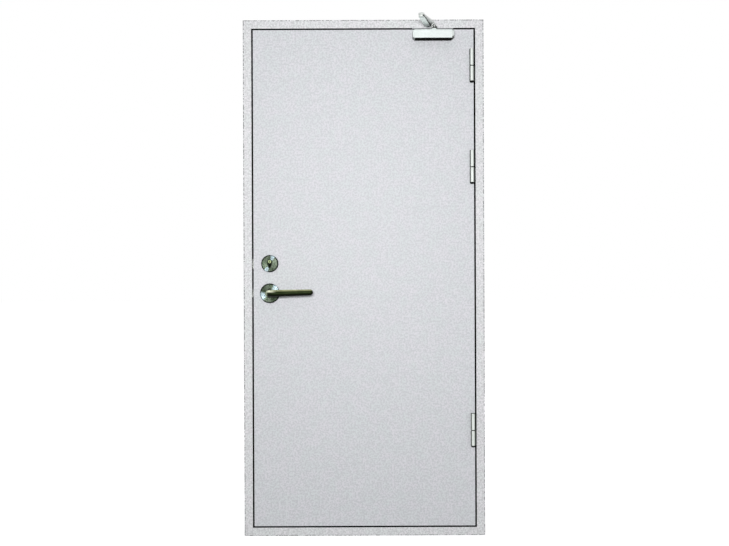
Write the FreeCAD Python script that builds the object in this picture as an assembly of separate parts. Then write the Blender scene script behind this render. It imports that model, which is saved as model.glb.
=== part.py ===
import FreeCAD
import Part
import math
import os

# Steel utility door: a flush leaf in a folded frame, with lever lock, lift-off hinges and an arm closer.
# Sizes are millimetres. X runs towards the hinge side, Y towards the room behind the door, Z up.
# The origin is the middle of the sill's underside, at half the frame's depth.

# Frame
overall_width = 980.0
overall_height = 2100.0
frame_depth = 110.0
frame_face = 35.0
frame_sheet = 1.5
rebate_depth = 50.0
stop_projection = 16.0
return_lip = 18.0
anchor_hole_radius = 5.5
anchor_hole_setback = 30.0
lowest_anchor_height = 300.0
anchor_spacing = 1500.0

# Seals on the frame's stop
seal_width = 10.0
seal_round = 1.8
seal_clearance = 1.0

# Leaf
leaf_gap = 5.5
leaf_thickness = 45.0
leaf_skin = 1.2
lock_edge_bevel = 2.0
edge_channel_height = 30.0
edge_channel_sheet = 1.5

# Fits
seat_clearance = 0.3
pin_clearance = 0.05

# Hinges
top_hinge_drop = 149.5
middle_hinge_drop = 561.0
bottom_hinge_rise = 389.0
hinge_upper_length = 68.5
hinge_lower_length = 62.0
hinge_barrel_radius = 9.0
hinge_barrel_round = 1.2
hinge_barrel_standoff = 0.5
hinge_plate = 2.0
hinge_plate_depth = 38.0
hinge_crank_depth = 3.0
hinge_pin_radius = 4.0
hinge_pin_length = 110.0
hinge_collar_radius = 6.5
hinge_split = 3.0

# Lever handles
backset = 66.5
lever_height = 988.5
lever_rose_radius = 40.0
rose_thickness = 9.0
rose_round = 3.0
lever_projection = 62.0
lever_reach = 179.0
lever_neck_radius = 14.2
lever_tip_radius = 12.0
lever_bend_radius = 19.0
lever_rise_angle = 1.4
lever_spindle_side = 8.0

# Lock
cylinder_rose_above_lever = 120.5
cylinder_rose_radius = 35.0
cylinder_plug_radius = 8.5
cylinder_tail_width = 10.0
cylinder_length_below_plug = 24.5
cylinder_plug_above_rose = 8.0
cylinder_projection = 3.0
keyway_width = 2.4
keyway_height = 9.0
keyway_depth = 9.0
faceplate_thickness = 3.0
faceplate_width = 24.0
faceplate_length = 250.0
lock_case_depth = 105.0
lock_case_thickness = 18.0
latch_height = 26.0
latch_thickness = 13.0
latch_length = 42.0
latch_flat = 2.5
latch_slope = 9.0
dead_bolt_height = 34.0
bolt_recess = 1.0
strike_thickness = 2.0
strike_pocket_margin = 3.0
strike_box_depth = 18.0
strike_box_wall = 1.0
strike_box_margin = 1.0

# Closer
closer_length = 167.0
closer_height = 37.0
closer_depth = 44.0
closer_round = 7.0
closer_cap_length = 9.0
closer_cap_taper = 3.0
closer_cap_rise = 7.0
closer_drop = 8.5
closer_from_hinge = 73.5
closer_boss_radius = 16.0
closer_boss_height = 3.0
spindle_from_hinge = 152.5
spindle_from_leaf = 25.0
spindle_radius = 7.0
spindle_depth = 14.0

# Closer arms
arm_clearance = 5.3
arm_gap = 1.0
main_arm_thickness = 7.0
main_arm_hub_radius = 12.0
main_arm_hub_height = 7.5
main_arm_hub_gap = 3.0
main_arm_crank_length = 7.5
main_arm_crank_overlap = 4.0
main_arm_width = 14.0
elbow_radius = 11.5
elbow_from_hinge = 213.0
elbow_from_leaf = 160.0
elbow_pin_radius = 5.0
forearm_thickness = 6.5
forearm_eye_radius = 11.0
forearm_width = 22.0
shoe_from_hinge = 179.0
shoe_from_leaf = 28.0
shoe_pin_radius = 4.0
shoe_lug_radius = 11.0
shoe_lug_thickness = 4.0
shoe_plate_width = 34.0
shoe_plate_height = 20.0
shoe_plate_thickness = 3.0
shoe_plate_shift = 10.0

# Places worked out from the sizes above
half_width = overall_width / 2
front = -frame_depth / 2
back = frame_depth / 2
stop_face = front + rebate_depth
rebate_x = half_width - frame_face
leaf_front = front
leaf_back = leaf_front + leaf_thickness
leaf_middle = (leaf_front + leaf_back) / 2
leaf_right = rebate_x - leaf_gap
leaf_left = -leaf_right
leaf_bottom = frame_face + leaf_gap
leaf_top = overall_height - frame_face - leaf_gap
skin_front = leaf_front + leaf_skin
skin_back = leaf_back - leaf_skin
skin_right = leaf_right - leaf_skin
hinge_x = leaf_right - hinge_barrel_radius
hinge_y = leaf_front - hinge_barrel_standoff - hinge_barrel_radius
lever_x = leaf_left + backset
cylinder_rose_height = lever_height + cylinder_rose_above_lever
plug_height = cylinder_rose_height + cylinder_plug_above_rose
lock_middle = (lever_height + cylinder_rose_height) / 2
faceplate_bottom = lock_middle - faceplate_length / 2
faceplate_top = lock_middle + faceplate_length / 2
bevel_slope = lock_edge_bevel / (leaf_back - skin_front)
bolt_nose = leaf_left + bolt_recess + bevel_slope * (leaf_middle - skin_front)
closer_right = hinge_x - closer_from_hinge
closer_left = closer_right - closer_length
closer_top = leaf_top - closer_drop
closer_bottom = closer_top - closer_height
closer_front = leaf_front - closer_depth
forearm_bottom = leaf_top + arm_clearance
forearm_top = forearm_bottom + forearm_thickness
main_arm_bottom = forearm_top + arm_gap
main_arm_top = main_arm_bottom + main_arm_thickness
hub_bottom = closer_top + closer_boss_height + main_arm_hub_gap
hub_top = hub_bottom + main_arm_hub_height
spindle_place = FreeCAD.Vector(hinge_x - spindle_from_hinge, leaf_front - spindle_from_leaf, 0)
elbow_place = FreeCAD.Vector(hinge_x - elbow_from_hinge, leaf_front - elbow_from_leaf, 0)
shoe_place = FreeCAD.Vector(hinge_x - shoe_from_hinge, leaf_front - shoe_from_leaf, 0)

X_AXIS = FreeCAD.Vector(1, 0, 0)
Y_AXIS = FreeCAD.Vector(0, 1, 0)
Z_AXIS = FreeCAD.Vector(0, 0, 1)
ORIGIN = FreeCAD.Vector(0, 0, 0)


def save(name, shape):
    """Write one piece to its own file."""
    shape.exportStep(os.path.join("parts", name + ".step"))


def block(low, high):
    """A box between two corners."""
    low = FreeCAD.Vector(*low)
    size = FreeCAD.Vector(*high) - low
    return Part.makeBox(size.x, size.y, size.z, low)


def rod(radius, start, end):
    """A round bar between two points."""
    start = FreeCAD.Vector(*start)
    along = FreeCAD.Vector(*end) - start
    return Part.makeCylinder(radius, along.Length, start, along)


def polygon(points):
    """A closed wire through the points."""
    corners = [FreeCAD.Vector(*point) for point in points]
    return Part.makePolygon(corners + corners[:1])


def plan_prism(points, bottom, top):
    """A plan outline in X and Y, raised from bottom to top."""
    face = Part.Face(polygon([(x, y, bottom) for x, y in points]))
    return face.extrude(Z_AXIS * (top - bottom))


def mirrored_through_leaf(shape):
    """The same piece on the other face of the leaf."""
    return shape.mirror(FreeCAD.Vector(0, leaf_middle, 0), Y_AXIS)


# Frame members
# A section is drawn in Y and Z, with Z measured from the member's outer edge towards the doorway.

def fold_points():
    """Corners of the frame's fold, on the hidden side of the sheet."""
    near = front + frame_sheet
    far = back - frame_sheet
    outer = frame_sheet
    rebate = frame_face - frame_sheet
    stop = stop_face + frame_sheet
    soffit = frame_face + stop_projection - frame_sheet
    return [(near, outer), (near, rebate), (stop, rebate), (stop, soffit), (far, soffit), (far, outer)]


def open_frame_section():
    """Folded section of a jamb or head, open to the wall between two return lips."""
    first_lip = (front + return_lip, frame_sheet)
    last_lip = (back - return_lip, frame_sheet)
    points = [first_lip] + fold_points() + [last_lip]
    fold = Part.makePolygon([FreeCAD.Vector(0, y, z) for y, z in points])
    return fold.makeOffset2D(-frame_sheet, 0, True, True)


def closed_frame_section():
    """Folded section of the sill, closed underneath."""
    inner = polygon([(0, y, z) for y, z in fold_points()])
    outer = inner.makeOffset2D(frame_sheet, 0, False, False)
    return Part.Face(outer).cut(Part.Face(inner)).Faces[0]


def mitred_member(section, length):
    """A straight member along X, with both ends cut at 45 degrees for the frame's corners."""
    bar = section.extrude(X_AXIS * length)
    bar.translate(X_AXIS * (-length / 2))
    reach = frame_face + stop_projection
    half = length / 2
    outline = [(-half, front, 0), (half, front, 0), (half - reach, front, reach), (reach - half, front, reach)]
    wedge = Part.Face(polygon(outline)).extrude(Y_AXIS * frame_depth)
    return bar.common(wedge)


def on_sill_side(section):
    return mitred_member(section, overall_width)


def on_head_side(section):
    member = mitred_member(section, overall_width)
    member.rotate(ORIGIN, Y_AXIS, 180)
    member.translate(Z_AXIS * overall_height)
    return member


def on_lock_side(section):
    member = mitred_member(section, overall_height)
    member.rotate(ORIGIN, Y_AXIS, 90)
    member.translate(FreeCAD.Vector(-half_width, 0, overall_height / 2))
    return member


def on_hinge_side(section):
    member = mitred_member(section, overall_height)
    member.rotate(ORIGIN, Y_AXIS, -90)
    member.translate(FreeCAD.Vector(half_width, 0, overall_height / 2))
    return member


def anchor_holes(side):
    """Holes through a jamb's soffit for the wall anchors; side is -1 or 1."""
    soffit = half_width - frame_face - stop_projection
    hole_y = back - anchor_hole_setback
    holes = []
    for height in (lowest_anchor_height, lowest_anchor_height + anchor_spacing):
        start = (side * (soffit - frame_sheet), hole_y, height)
        end = (side * (soffit + 2 * frame_sheet), hole_y, height)
        holes.append(rod(anchor_hole_radius, start, end))
    return holes


def seal_section():
    """Section of the soft seal, round on the side that meets the leaf."""
    nose = leaf_back + seal_clearance
    low = frame_face + (stop_projection - seal_width) / 2
    high = low + seal_width
    slack = seal_round * (1 - math.sqrt(0.5))
    points = [
        (stop_face, low), (nose + seal_round, low), (nose + slack, low + slack), (nose, low + seal_round),
        (nose, high - seal_round), (nose + slack, high - slack), (nose + seal_round, high), (stop_face, high),
    ]
    corner = [FreeCAD.Vector(0, y, z) for y, z in points]
    edges = [
        Part.makeLine(corner[0], corner[1]),
        Part.Arc(corner[1], corner[2], corner[3]).toShape(),
        Part.makeLine(corner[3], corner[4]),
        Part.Arc(corner[4], corner[5], corner[6]).toShape(),
        Part.makeLine(corner[6], corner[7]),
        Part.makeLine(corner[7], corner[0]),
    ]
    return Part.Face(Part.Wire(edges))


# Hinges

HINGES = (
    ("top_hinge", leaf_top - top_hinge_drop),
    ("middle_hinge", leaf_top - middle_hinge_drop),
    ("bottom_hinge", leaf_bottom + bottom_hinge_rise),
)


def knuckle(bottom, top):
    """A plain barrel with softened end edges."""
    barrel = rod(hinge_barrel_radius, (hinge_x, hinge_y, bottom), (hinge_x, hinge_y, top))
    rims = [edge for edge in barrel.Edges if isinstance(edge.Curve, Part.Circle)]
    return barrel.makeFillet(hinge_barrel_round, rims)


def pin_bore(height):
    half = hinge_pin_length / 2 + seat_clearance
    radius = hinge_pin_radius + pin_clearance
    return rod(radius, (hinge_x, hinge_y, height - half), (hinge_x, hinge_y, height + half))


def frame_half(height):
    """Lower knuckle, on a plate that cranks across the gap and lies on the jamb's rebate."""
    bottom = height - hinge_lower_length
    top = height - hinge_split / 2
    crank_end = front + hinge_crank_depth
    plate_end = front + hinge_plate_depth
    plate_face = rebate_x - hinge_plate
    outline = [
        (leaf_right, hinge_y), (rebate_x, crank_end), (rebate_x, plate_end),
        (plate_face, plate_end), (plate_face, crank_end), (leaf_right - hinge_plate, hinge_y),
    ]
    plate = plan_prism(outline, bottom, top)
    return knuckle(bottom, top).fuse(plate).removeSplitter().cut(pin_bore(height))


def door_half(height):
    """Upper knuckle, on a plate let into the leaf's edge."""
    bottom = height + hinge_split / 2
    top = height + hinge_upper_length
    plate = block((leaf_right - hinge_plate, hinge_y, bottom), (leaf_right, front + hinge_plate_depth, top))
    return knuckle(bottom, top).fuse(plate).removeSplitter().cut(pin_bore(height))


def hinge_pin(height):
    """Pin with the thrust collar that carries the upper knuckle."""
    half = hinge_pin_length / 2
    shaft = rod(hinge_pin_radius, (hinge_x, hinge_y, height - half), (hinge_x, hinge_y, height + half))
    collar_bottom = height - hinge_split / 2
    collar_top = height + hinge_split / 2 - seat_clearance
    collar = rod(hinge_collar_radius, (hinge_x, hinge_y, collar_bottom), (hinge_x, hinge_y, collar_top))
    return shaft.fuse(collar).removeSplitter()


def door_plate_pocket(height):
    """Cut-out in the leaf's edge for a hinge's upper plate."""
    pocket_back = front + hinge_plate_depth + seat_clearance
    pocket_top = height + hinge_upper_length + seat_clearance
    low = (leaf_right - hinge_plate, leaf_front - leaf_skin, height - seat_clearance)
    high = (leaf_right + leaf_skin, pocket_back, pocket_top)
    return block(low, high)


# Leaf

def lock_edge(y, inset):
    """X of the bevelled lock edge at a depth, set in from the surface."""
    return leaf_left + inset + bevel_slope * (y - skin_front)


def leaf_filling(y_front, y_back, bottom, top):
    """What fits between the folded edges of the front skin."""
    points = [
        (lock_edge(y_front, leaf_skin), y_front), (skin_right, y_front),
        (skin_right, y_back), (lock_edge(y_back, leaf_skin), y_back),
    ]
    return plan_prism(points, bottom, top)


def front_pan():
    """Front sheet, folded back along both upright edges and trimmed level with the back of the leaf."""
    fold_end = leaf_back + leaf_skin
    points = [
        (lock_edge(fold_end, leaf_skin), fold_end), (lock_edge(skin_front, leaf_skin), skin_front),
        (skin_right, skin_front), (skin_right, fold_end),
    ]
    fold = Part.makePolygon([FreeCAD.Vector(x, y, leaf_bottom) for x, y in points])
    section = fold.makeOffset2D(leaf_skin, 0, True, True)
    pan = section.extrude(Z_AXIS * (leaf_top - leaf_bottom))
    low = (leaf_left - leaf_skin, leaf_front - leaf_skin, leaf_bottom)
    high = (leaf_right + leaf_skin, leaf_back, leaf_top)
    return pan.common(block(low, high))


def edge_channel(bottom, top, shift):
    """Folded channel that closes the leaf's top or bottom edge; shift moves its hollow towards the core."""
    outside = leaf_filling(skin_front, skin_back, bottom, top)
    low = (leaf_left, skin_front + edge_channel_sheet, bottom + shift)
    high = (leaf_right, skin_back - edge_channel_sheet, top + shift)
    return outside.cut(block(low, high))


# Lock

def cylinder_profile(grow, y_start, y_end):
    """Profile cylinder body: a round plug over a narrow tail, widened all round by grow."""
    plug = rod(cylinder_plug_radius + grow, (lever_x, y_start, plug_height), (lever_x, y_end, plug_height))
    tail_radius = cylinder_tail_width / 2
    tail_height = plug_height - cylinder_length_below_plug + tail_radius
    web_low = (lever_x - tail_radius - grow, y_start, tail_height)
    web_high = (lever_x + tail_radius + grow, y_end, plug_height)
    foot = rod(tail_radius + grow, (lever_x, y_start, tail_height), (lever_x, y_end, tail_height))
    return plug.fuse([block(web_low, web_high), foot]).removeSplitter()


def lock_cylinder():
    """Cylinder through the leaf, keyed from both faces."""
    reach = rose_thickness + cylinder_projection
    body = cylinder_profile(0, leaf_front - reach, leaf_back + reach)
    half = keyway_width / 2
    low = (lever_x - half, leaf_front - reach, plug_height - keyway_height / 2)
    high = (lever_x + half, leaf_front - reach + keyway_depth, plug_height + keyway_height / 2)
    keyway = block(low, high)
    return body.cut(keyway).cut(mirrored_through_leaf(keyway))


def rose(radius, height):
    """A turned cover disc on the leaf's front face, with a soft front edge."""
    face = leaf_front - rose_thickness
    disc = rod(radius, (lever_x, leaf_front, height), (lever_x, face, height))
    circles = [edge for edge in disc.Edges if isinstance(edge.Curve, Part.Circle)]
    front_rim = min(circles, key=lambda edge: edge.Curve.Center.y)
    return disc.makeFillet(rose_round, [front_rim])


def lever_rose():
    hole_radius = lever_neck_radius + seat_clearance
    start = (lever_x, leaf_front + seat_clearance, lever_height)
    end = (lever_x, leaf_front - rose_thickness - seat_clearance, lever_height)
    return rose(lever_rose_radius, lever_height).cut(rod(hole_radius, start, end))


def cylinder_rose():
    hole_front = leaf_front - rose_thickness - seat_clearance
    hole = cylinder_profile(seat_clearance, hole_front, leaf_front + seat_clearance)
    return rose(cylinder_rose_radius, cylinder_rose_height).cut(hole)


def lever():
    """Round lever bent from one bar: neck, quarter bend, tapering grip and rounded tip."""
    grip_y = leaf_front - lever_projection
    bend_y = grip_y + lever_bend_radius
    bend_x = lever_x + lever_bend_radius
    tip_x = lever_x + lever_reach - lever_tip_radius
    neck = rod(lever_neck_radius, (lever_x, leaf_front, lever_height), (lever_x, bend_y, lever_height))
    ring = Part.makeCircle(lever_neck_radius, FreeCAD.Vector(lever_x, bend_y, lever_height), Y_AXIS)
    bend_centre = FreeCAD.Vector(bend_x, bend_y, lever_height)
    bend = Part.Face(Part.Wire(ring)).revolve(bend_centre, Z_AXIS, 90)
    start = FreeCAD.Vector(bend_x, grip_y, lever_height)
    grip = Part.makeCone(lever_neck_radius, lever_tip_radius, tip_x - bend_x, start, X_AXIS)
    tip = Part.makeSphere(lever_tip_radius, FreeCAD.Vector(tip_x, grip_y, lever_height))
    handle = neck.fuse([bend, grip, tip]).removeSplitter()
    handle.rotate(FreeCAD.Vector(lever_x, 0, lever_height), Y_AXIS, -lever_rise_angle)
    return handle


def lever_spindle():
    """Square bar that joins the two levers through the leaf."""
    half = lever_spindle_side / 2
    low = (lever_x - half, leaf_front, lever_height - half)
    high = (lever_x + half, leaf_back, lever_height + half)
    bar = block(low, high)
    bar.rotate(FreeCAD.Vector(lever_x, 0, lever_height), Y_AXIS, -lever_rise_angle)
    return bar


def spindle_passage():
    """Clear hole for the lever spindle."""
    radius = lever_spindle_side / math.sqrt(2) + seat_clearance
    start = (lever_x, leaf_front - leaf_skin, lever_height)
    end = (lever_x, leaf_back + leaf_skin, lever_height)
    return rod(radius, start, end)


def faceplate_blank(grow):
    """Strip let into the bevelled lock edge, grown at its ends and sides for its pocket."""
    y_low = leaf_middle - faceplate_width / 2 - grow
    y_high = leaf_middle + faceplate_width / 2 + grow
    inner = faceplate_thickness
    points = [
        (lock_edge(y_low, -grow), y_low), (lock_edge(y_low, inner), y_low),
        (lock_edge(y_high, inner), y_high), (lock_edge(y_high, -grow), y_high),
    ]
    return plan_prism(points, faceplate_bottom - grow, faceplate_top + grow)


def bolt_block(height, bolt_height, nose, clearance):
    """A bolt from its nose to its tail, or the room that it needs, grown by a clearance."""
    half_y = latch_thickness / 2 + clearance
    half_z = bolt_height / 2 + clearance
    tail = bolt_nose + latch_length + clearance
    return block((nose, leaf_middle - half_y, height - half_z), (tail, leaf_middle + half_y, height + half_z))


def bolt_room(height, bolt_height):
    """Room for a bolt behind and through the faceplate."""
    return bolt_block(height, bolt_height, leaf_left - leaf_skin, seat_clearance)


def latch_bolt():
    """Spring latch, drawn in, with the slope of its nose towards the closing side."""
    bolt = bolt_block(lever_height, latch_height, bolt_nose, 0)
    near = leaf_middle - latch_thickness / 2
    far = leaf_middle + latch_thickness / 2
    slope = [(bolt_nose, near + latch_flat), (bolt_nose + latch_slope, far), (bolt_nose, far)]
    return bolt.cut(plan_prism(slope, lever_height - latch_height, lever_height + latch_height))


def lock_case():
    """Flat case behind the faceplate, with room for both bolts, the spindle and the cylinder."""
    start_x = lock_edge(leaf_back, faceplate_thickness)
    half = lock_case_thickness / 2
    margin = faceplate_width / 2
    low = (start_x, leaf_middle - half, faceplate_bottom + margin)
    high = (start_x + lock_case_depth, leaf_middle + half, faceplate_top - margin)
    return block(low, high)


def strike_blank(grow, inner):
    """Strip let into the lock jamb's rebate opposite the faceplate; inner is where its hidden side lies."""
    half = faceplate_width / 2 + grow
    low = (-rebate_x - strike_thickness, leaf_middle - half, faceplate_bottom - grow)
    high = (-inner, leaf_middle + half, faceplate_top + grow)
    return block(low, high)


def strike_plate():
    """Strike with an opening for each bolt."""
    strike = strike_blank(0, rebate_x)
    for centre, bolt_height in ((lever_height, latch_height), (cylinder_rose_height, dead_bolt_height)):
        half_y = latch_thickness / 2 + strike_pocket_margin
        half_z = bolt_height / 2 + strike_pocket_margin
        low = (-rebate_x - 2 * strike_thickness, leaf_middle - half_y, centre - half_z)
        high = (-rebate_x + strike_thickness, leaf_middle + half_y, centre + half_z)
        strike = strike.cut(block(low, high))
    return strike


def room_behind_strike(grow, depth):
    """Block behind the jamb's rebate, round the strike, grown all round."""
    hidden_side = -rebate_x - frame_sheet
    half_y = faceplate_width / 2 + strike_box_margin + grow
    half_z = faceplate_length / 2 + strike_box_margin + grow
    low = (hidden_side - depth, leaf_middle - half_y, lock_middle - half_z)
    high = (hidden_side, leaf_middle + half_y, lock_middle + half_z)
    return block(low, high)


def strike_box():
    """Folded box on the hidden side of the rebate that keeps the bolts' room clear of grout."""
    outside = room_behind_strike(strike_box_wall, strike_box_depth)
    inside = room_behind_strike(0, strike_box_depth - strike_box_wall)
    return outside.cut(inside)


# Closer

def closer_section(x, inset, rise):
    """The closer's rounded outline in Y and Z, drawn in at its front and top, with a raised underside."""
    y_front = closer_front + inset
    z_low = closer_bottom + rise
    z_high = closer_top - inset
    slack = closer_round * (1 - math.sqrt(0.5))
    corner = [
        FreeCAD.Vector(x, leaf_front, z_low),
        FreeCAD.Vector(x, y_front + closer_round, z_low),
        FreeCAD.Vector(x, y_front + slack, z_low + slack),
        FreeCAD.Vector(x, y_front, z_low + closer_round),
        FreeCAD.Vector(x, y_front, z_high - closer_round),
        FreeCAD.Vector(x, y_front + slack, z_high - slack),
        FreeCAD.Vector(x, y_front + closer_round, z_high),
        FreeCAD.Vector(x, leaf_front, z_high),
    ]
    return Part.Wire([
        Part.makeLine(corner[0], corner[1]),
        Part.Arc(corner[1], corner[2], corner[3]).toShape(),
        Part.makeLine(corner[3], corner[4]),
        Part.Arc(corner[4], corner[5], corner[6]).toShape(),
        Part.makeLine(corner[6], corner[7]),
        Part.makeLine(corner[7], corner[0]),
    ])


def closer_body():
    """Cast body between the end caps, with the spindle's boss on top."""
    length = closer_length - 2 * closer_cap_length
    casting = Part.Face(closer_section(closer_left + closer_cap_length, 0, 0)).extrude(X_AXIS * length)
    boss_top = spindle_place + Z_AXIS * (closer_top + closer_boss_height)
    boss_foot = spindle_place + Z_AXIS * (closer_top - closer_boss_height)
    bore_foot = spindle_place + Z_AXIS * (closer_top + closer_boss_height - spindle_depth)
    boss = rod(closer_boss_radius, boss_foot, boss_top)
    bore = rod(spindle_radius + pin_clearance, bore_foot, boss_top + Z_AXIS * seat_clearance)
    return casting.fuse(boss).removeSplitter().cut(bore)


def closer_cap(inner_x, outer_x):
    """End cap that draws in towards the end of the closer."""
    sections = [closer_section(inner_x, 0, 0), closer_section(outer_x, closer_cap_taper, closer_cap_rise)]
    return Part.makeLoft(sections, True, True)


def flat_link(first, first_radius, second, second_radius, width, bottom, top):
    """A flat straight bar with a round eye at each end."""
    along = (second - first).normalize()
    side = FreeCAD.Vector(-along.y, along.x, 0) * (width / 2)
    corners = (first + side, first - side, second - side, second + side)
    bar = plan_prism([(corner.x, corner.y) for corner in corners], bottom, top)
    eyes = [
        rod(first_radius, first + Z_AXIS * bottom, first + Z_AXIS * top),
        rod(second_radius, second + Z_AXIS * bottom, second + Z_AXIS * top),
    ]
    return bar.fuse(eyes).removeSplitter()


def main_arm():
    """Forged arm: a low hub on the spindle, a crank up beside it and a flat bar to the elbow."""
    reach = (elbow_place - spindle_place).Length
    along = (elbow_place - spindle_place).normalize()
    side = FreeCAD.Vector(-along.y, along.x, 0) * main_arm_width
    crank_foot = main_arm_hub_radius
    crank_end = crank_foot + main_arm_crank_length
    outline = [
        (0, hub_bottom), (crank_foot, hub_bottom), (crank_end, main_arm_bottom), (reach, main_arm_bottom),
        (reach, main_arm_top), (crank_end - main_arm_crank_overlap, main_arm_top),
        (crank_foot - main_arm_crank_overlap, hub_top), (0, hub_top),
    ]
    start = spindle_place - side * 0.5
    points = [start + along * distance + Z_AXIS * height for distance, height in outline]
    bar = Part.Face(polygon(points)).extrude(side)
    hub = rod(main_arm_hub_radius, spindle_place + Z_AXIS * hub_bottom, spindle_place + Z_AXIS * hub_top)
    eye = rod(elbow_radius, elbow_place + Z_AXIS * main_arm_bottom, elbow_place + Z_AXIS * main_arm_top)
    return bar.fuse([hub, eye]).removeSplitter()


def forearm():
    """Flat bar from the shoe to the elbow, with the elbow's stud under the main arm."""
    bar = flat_link(
        shoe_place, forearm_eye_radius, elbow_place, elbow_radius, forearm_width,
        forearm_bottom, forearm_top,
    )
    stud_top = main_arm_bottom - seat_clearance
    stud = rod(elbow_pin_radius, elbow_place + Z_AXIS * forearm_bottom, elbow_place + Z_AXIS * stud_top)
    eye_low = shoe_place + Z_AXIS * (forearm_bottom - arm_gap)
    eye_high = shoe_place + Z_AXIS * (forearm_top + arm_gap)
    eye = rod(shoe_pin_radius + pin_clearance, eye_low, eye_high)
    return bar.fuse(stud).removeSplitter().cut(eye)


def closer_spindle():
    foot = spindle_place + Z_AXIS * (closer_top + closer_boss_height - spindle_depth + seat_clearance)
    return rod(spindle_radius, foot, spindle_place + Z_AXIS * hub_bottom)


def closer_shoe():
    """Bracket on the head: a plate on its face, a lug and the pin that carries the forearm."""
    plate_bottom = overall_height - (frame_face + shoe_plate_height) / 2
    half = shoe_plate_width / 2
    plate_middle = shoe_place.x + shoe_plate_shift
    low = (plate_middle - half, front - shoe_plate_thickness, plate_bottom)
    high = (plate_middle + half, front, plate_bottom + shoe_plate_height)
    plate = block(low, high)
    lug_bottom = main_arm_bottom
    lug_top = lug_bottom + shoe_lug_thickness
    neck_low = (shoe_place.x - shoe_lug_radius, shoe_place.y, lug_bottom)
    neck_high = (shoe_place.x + shoe_lug_radius, front, lug_top)
    lug_end = rod(shoe_lug_radius, shoe_place + Z_AXIS * lug_bottom, shoe_place + Z_AXIS * lug_top)
    pin = rod(shoe_pin_radius, shoe_place + Z_AXIS * forearm_bottom, shoe_place + Z_AXIS * lug_top)
    return plate.fuse([block(neck_low, neck_high), lug_end, pin]).removeSplitter()


os.makedirs("parts", exist_ok=True)

# Frame pieces
jamb_section = open_frame_section()
strike_pocket = strike_blank(seat_clearance, rebate_x - strike_thickness)
lock_jamb = on_lock_side(jamb_section).cut(strike_pocket).cut(anchor_holes(-1))
hinge_jamb = on_hinge_side(jamb_section).cut(anchor_holes(1))
save("lock_jamb", lock_jamb)
save("hinge_jamb", hinge_jamb)
save("frame_head", on_head_side(jamb_section))
save("sill", on_sill_side(closed_frame_section()))
save("strike_plate", strike_plate())
save("strike_box", strike_box())

seal = seal_section()
save("sill_seal", on_sill_side(seal))
save("head_seal", on_head_side(seal))
save("lock_side_seal", on_lock_side(seal))
save("hinge_side_seal", on_hinge_side(seal))

# Hinge pieces
for name, height in HINGES:
    save(name + "_frame_half", frame_half(height))
    save(name + "_door_half", door_half(height))
    save(name + "_pin", hinge_pin(height))

# Leaf pieces
hinge_pockets = [door_plate_pocket(height) for name, height in HINGES]
lever_passage = spindle_passage()
cylinder_passage = cylinder_profile(seat_clearance, leaf_front - leaf_skin, leaf_back + leaf_skin)
passages = [lever_passage, cylinder_passage]
faceplate_pocket = faceplate_blank(seat_clearance)
bolt_rooms = [bolt_room(lever_height, latch_height), bolt_room(cylinder_rose_height, dead_bolt_height)]
case = lock_case()
core_bottom = leaf_bottom + edge_channel_height
core_top = leaf_top - edge_channel_height
core = leaf_filling(skin_front, skin_back, core_bottom, core_top)

save("leaf_front_skin", front_pan().cut(hinge_pockets + passages + [faceplate_pocket]))
save("leaf_back_skin", leaf_filling(skin_back, leaf_back, leaf_bottom, leaf_top).cut(passages))
save("leaf_core", core.cut(hinge_pockets + passages + bolt_rooms + [faceplate_pocket, case]))
save("leaf_top_channel", edge_channel(core_top, leaf_top, -edge_channel_sheet))
save("leaf_bottom_channel", edge_channel(leaf_bottom, core_bottom, edge_channel_sheet))

# Lock pieces
save("lock_faceplate", faceplate_blank(0).cut(bolt_rooms))
save("lock_case", case.cut(bolt_rooms + passages))
save("latch_bolt", latch_bolt())
save("dead_bolt", bolt_block(cylinder_rose_height, dead_bolt_height, bolt_nose, 0))
save("lock_cylinder", lock_cylinder())
save("front_lever_rose", lever_rose())
save("back_lever_rose", mirrored_through_leaf(lever_rose()))
save("front_cylinder_rose", cylinder_rose())
save("back_cylinder_rose", mirrored_through_leaf(cylinder_rose()))
save("front_lever", lever())
save("back_lever", mirrored_through_leaf(lever()))
save("lever_spindle", lever_spindle())

# Closer pieces
save("closer_body", closer_body())
save("closer_left_cap", closer_cap(closer_left + closer_cap_length, closer_left))
save("closer_right_cap", closer_cap(closer_right - closer_cap_length, closer_right))
save("closer_spindle", closer_spindle())
save("closer_main_arm", main_arm())
save("closer_forearm", forearm())
save("closer_shoe", closer_shoe())
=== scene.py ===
import math

import bmesh
import bpy
from mathutils import Matrix, Vector


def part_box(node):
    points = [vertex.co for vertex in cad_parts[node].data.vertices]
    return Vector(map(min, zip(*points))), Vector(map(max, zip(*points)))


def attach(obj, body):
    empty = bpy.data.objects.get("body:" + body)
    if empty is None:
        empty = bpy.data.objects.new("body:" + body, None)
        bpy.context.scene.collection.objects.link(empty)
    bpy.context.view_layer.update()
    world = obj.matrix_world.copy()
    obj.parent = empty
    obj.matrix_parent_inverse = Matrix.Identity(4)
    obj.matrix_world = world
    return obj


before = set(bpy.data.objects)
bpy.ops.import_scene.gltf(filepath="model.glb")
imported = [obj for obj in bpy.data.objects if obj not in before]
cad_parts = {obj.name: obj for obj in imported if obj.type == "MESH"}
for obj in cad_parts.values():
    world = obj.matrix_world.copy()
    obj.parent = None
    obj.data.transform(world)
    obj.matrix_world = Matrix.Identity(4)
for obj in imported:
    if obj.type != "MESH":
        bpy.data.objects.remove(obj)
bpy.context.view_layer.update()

# Steel utility door: the finish of every piece, the small fasteners, and a plain studio round it.
# Lengths are metres, angles are degrees, and tones are screen values from 0 to 255.

# Picture: the scale is metres to a pixel on the front of the frame, the sensor is in millimetres
image_width = 729
photo_distance = 3.6
photo_scale = 0.0040713
camera_height = 1.0695
camera_side = 0.002
camera_roll = 0.22
sensor_width = 36.0

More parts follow.
